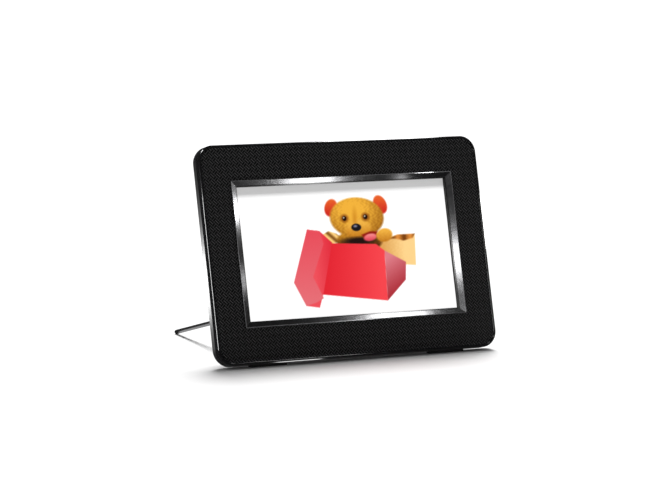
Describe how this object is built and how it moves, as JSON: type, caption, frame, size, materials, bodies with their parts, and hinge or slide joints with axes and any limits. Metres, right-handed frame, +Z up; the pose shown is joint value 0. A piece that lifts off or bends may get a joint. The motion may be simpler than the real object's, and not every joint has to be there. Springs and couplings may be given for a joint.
{
  "type": "digital photo frame",
  "caption": "Landscape digital photo frame: gloss rim, woven-look panel, bevelled trim round the display, rear electronics cover, fold-out rod stand.",
  "frame": {"origin": "centre of the bounding box in X and Y, on the surface that the frame stands on", "axes": "+X to the right of someone looking at the display, +Z up, the display faces -Y and leans back 15.5 degrees; the rod stand reaches back along +Y"},
  "size_m": [0.2056, 0.1352, 0.1387],
  "materials": {
    "gloss_black": "gloss black moulding",
    "textured_black": "satin black with a fine diagonal weave relief",
    "trim_metal": "dark hairline-brushed bevel",
    "housing_plastic": "matt black",
    "gasket_foam": "matt black foam",
    "screen_glass": "glossy display showing a picture",
    "optical_plastic": "clear to white optical plastic",
    "led_board": "white strip with yellow lamps",
    "sheet_steel": "plated sheet steel",
    "cover_plastic": "fine-textured matt black",
    "button_plastic": "satin dark grey",
    "circuit_board": "green solder resist",
    "chip_black": "black moulding",
    "ferrite": "dark grey sintered block",
    "connector_steel": "plated shell",
    "capacitor_can": "satin can",
    "cell_steel": "satin coin cell",
    "ribbon_film": "amber polyimide film",
    "speaker_black": "black basket and dome",
    "screw_steel": "bright screws",
    "screw_black": "black-coated screws",
    "stand_chrome": "plated rod",
    "knuckle_black": "black-coated casting",
    "rubber_black": "matt black rubber"
  },
  "bodies": {
    "frame": {"front_rim": "gloss_black", "textured_panel": "textured_black", "screen_trim": "trim_metal", "front_housing": "housing_plastic", "lcd_gasket": "gasket_foam", "lcd_steel_frame": "sheet_steel", "lcd_glass": "screen_glass", "diffuser_sheet": "optical_plastic", "light_guide": "optical_plastic", "led_strip": "led_board", "backlight_tray": "sheet_steel", "lcd_bracket_lower": "sheet_steel", "bracket_screw_lower": "screw_steel", "lcd_bracket_upper": "sheet_steel", "bracket_screw_upper": "screw_steel", "dc_jack": "chip_black", "usb_host_socket": "connector_steel", "mini_usb_socket": "connector_steel", "earphone_jack": "chip_black", "card_socket": "connector_steel", "power_switch_body": "chip_black", "rear_cover": "cover_plastic", "cover_screw_1": "screw_black", "cover_screw_2": "screw_black", "cover_screw_3": "screw_black", "cover_screw_4": "screw_black", "main_board": "circuit_board", "board_screw_1": "screw_steel", "board_screw_2": "screw_steel", "board_screw_3": "screw_steel", "board_screw_4": "screw_steel", "media_processor": "chip_black", "memory_chip": "chip_black", "voltage_coil": "ferrite", "capacitor": "capacitor_can", "clock_battery": "cell_steel", "lcd_ribbon": "ribbon_film", "button_ribbon": "ribbon_film", "button_board": "circuit_board", "button_board_screw_left": "screw_steel", "button_board_screw_right": "screw_steel", "tact_switch_menu": "chip_black", "tact_switch_previous": "chip_black", "tact_switch_play": "chip_black", "tact_switch_next": "chip_black", "tact_switch_exit": "chip_black", "speaker_left": "speaker_black", "speaker_right": "speaker_black", "hinge_pin": "screw_steel", "foot_pad_left": "rubber_black", "foot_pad_right": "rubber_black"},
    "stand": {"stand_rod": "stand_chrome", "rod_tip": "rubber_black", "stand_knuckle": "knuckle_black"},
    "power_slider": {"power_switch_slider": "button_plastic"},
    "menu_button": {"button_menu": "button_plastic"},
    "previous_button": {"button_previous": "button_plastic"},
    "play_button": {"button_play": "button_plastic"},
    "next_button": {"button_next": "button_plastic"},
    "exit_button": {"button_exit": "button_plastic"}
  },
  "joints": [
    {"name": "stand_fold", "type": "hinge", "parent": "frame", "child": "stand", "pos_m": [-0.0686, -0.04093, 0.03107], "axis": [0, -0.2664, -0.9639], "range_deg": [0, 90]},
    {"name": "power_slide", "type": "slide", "parent": "frame", "child": "power_slider", "axis": [0, 0.2664, 0.9639], "range_m": [0, 0.003]},
    {"name": "menu_press", "type": "slide", "parent": "frame", "child": "menu_button", "axis": [0, -0.9639, 0.2664], "range_m": [0, 0.0008], "stiffness_N_per_m": 1000, "springref_m": -0.0004},
    {"name": "previous_press", "type": "slide", "parent": "frame", "child": "previous_button", "axis": [0, -0.9639, 0.2664], "range_m": [0, 0.0008], "stiffness_N_per_m": 1000, "springref_m": -0.0004},
    {"name": "play_press", "type": "slide", "parent": "frame", "child": "play_button", "axis": [0, -0.9639, 0.2664], "range_m": [0, 0.0008], "stiffness_N_per_m": 1000, "springref_m": -0.0004},
    {"name": "next_press", "type": "slide", "parent": "frame", "child": "next_button", "axis": [0, -0.9639, 0.2664], "range_m": [0, 0.0008], "stiffness_N_per_m": 1000, "springref_m": -0.0004},
    {"name": "exit_press", "type": "slide", "parent": "frame", "child": "exit_button", "axis": [0, -0.9639, 0.2664], "range_m": [0, 0.0008], "stiffness_N_per_m": 1000, "springref_m": -0.0004}
  ]
}
